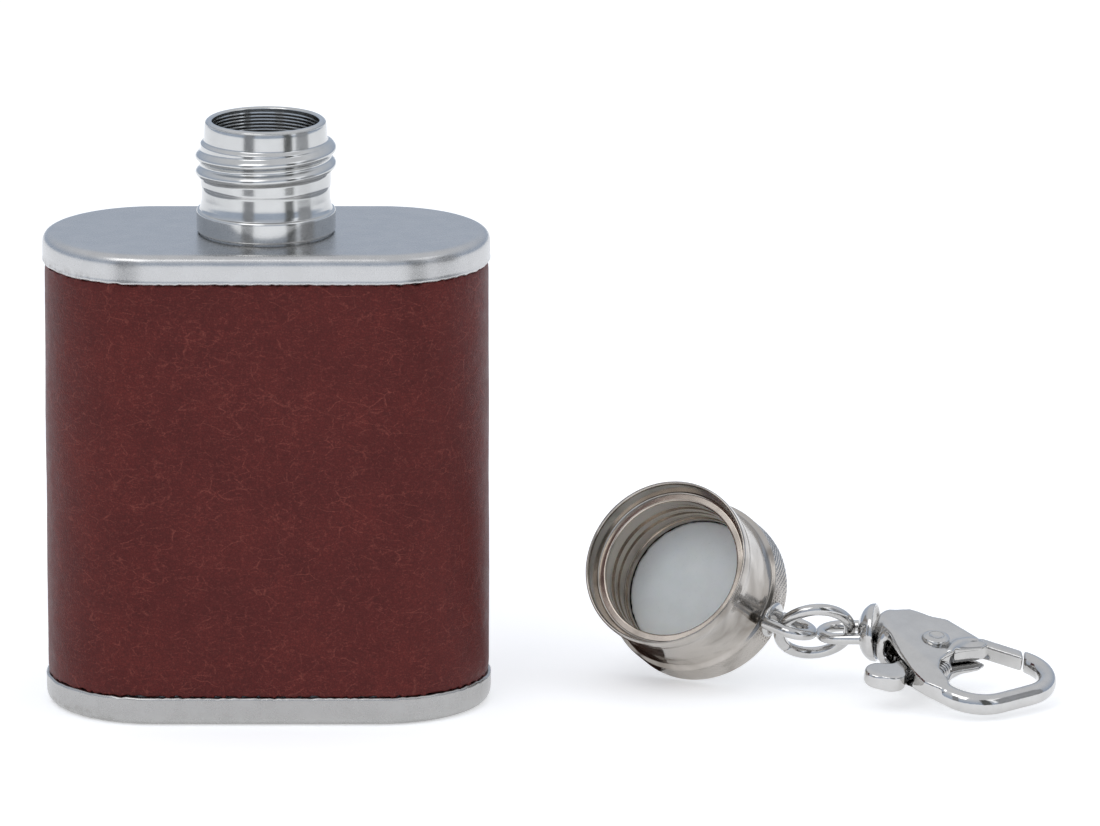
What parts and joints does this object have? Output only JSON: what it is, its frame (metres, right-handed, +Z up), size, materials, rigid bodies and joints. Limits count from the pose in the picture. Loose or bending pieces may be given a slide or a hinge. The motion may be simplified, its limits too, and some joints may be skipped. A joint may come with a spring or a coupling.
{
  "type": "hip flask",
  "caption": "Pocket hip flask wrapped in leather between steel bands, with a threaded neck, and its loose screw cap on a jump ring with a swivel snap hook.",
  "frame": {"origin": "centre of the flask's flat underside", "axes": "+Z up along the neck, +X along the flask's width towards the loose cap, -Y the front"},
  "size_m": [0.0955, 0.0251, 0.0561],
  "materials": {
    "band_steel": "polished stainless steel with fine wear and a few smudges",
    "tank_steel": "plain drawn stainless steel",
    "neck_steel": "turned and polished steel",
    "leather": "satin dark red-brown leather with fine grain",
    "cap_steel": "turned and polished steel with a knurled band",
    "liner": "matte pale grey sealing disc",
    "clasp_metal": "cast and tumbled, bright nickel plate",
    "spring_steel": "bright spring wire"
  },
  "bodies": {
    "flask": {"bottom_cap": "band_steel", "tank_wall": "tank_steel", "top_cap": "band_steel", "neck": "neck_steel", "leather_wrap": "leather"},
    "cap": {"cap_shell": "cap_steel", "cap_insert": "neck_steel", "cap_liner": "liner", "cap_lug": "clasp_metal"},
    "ring": {"jump_ring": "clasp_metal"},
    "swivel": {"swivel_eye": "clasp_metal"},
    "hook": {"hook_body": "clasp_metal", "lever_pin": "clasp_metal", "lever_spring": "spring_steel"},
    "lever": {"lever": "clasp_metal"}
  },
  "joints": [
    {"name": "cap_lift", "type": "slide", "parent": "flask", "child": "cap", "axis": [0, 0, 1], "range_m": [0, 0.06]},
    {"name": "ring_swing", "type": "hinge", "parent": "cap", "child": "ring", "pos_m": [0.04859, 0.00228, 0.00631], "axis": [0.3719, -0.5319, 0.7608], "range_deg": [0, 8]},
    {"name": "eye_swing", "type": "hinge", "parent": "ring", "child": "swivel", "pos_m": [0.05495, 0.00396, 0.00501], "axis": [0.2349, -0.5682, 0.7886], "range_deg": [0, 24]},
    {"name": "hook_swivel", "type": "hinge", "parent": "swivel", "child": "hook", "pos_m": [0.0582, 0.0038, 0.00519], "axis": [0.9816, -0.1855, 0.0454], "continuous": true},
    {"name": "lever_press", "type": "hinge", "parent": "hook", "child": "lever", "pos_m": [0.06294, 0.00044, 0.00394], "axis": [-0.1014, 0.2184, -0.9706], "range_deg": [0, 22], "stiffness_Nm_per_rad": 0.004, "springref_deg": -17.19, "deforming": ["lever_spring"]}
  ]
}
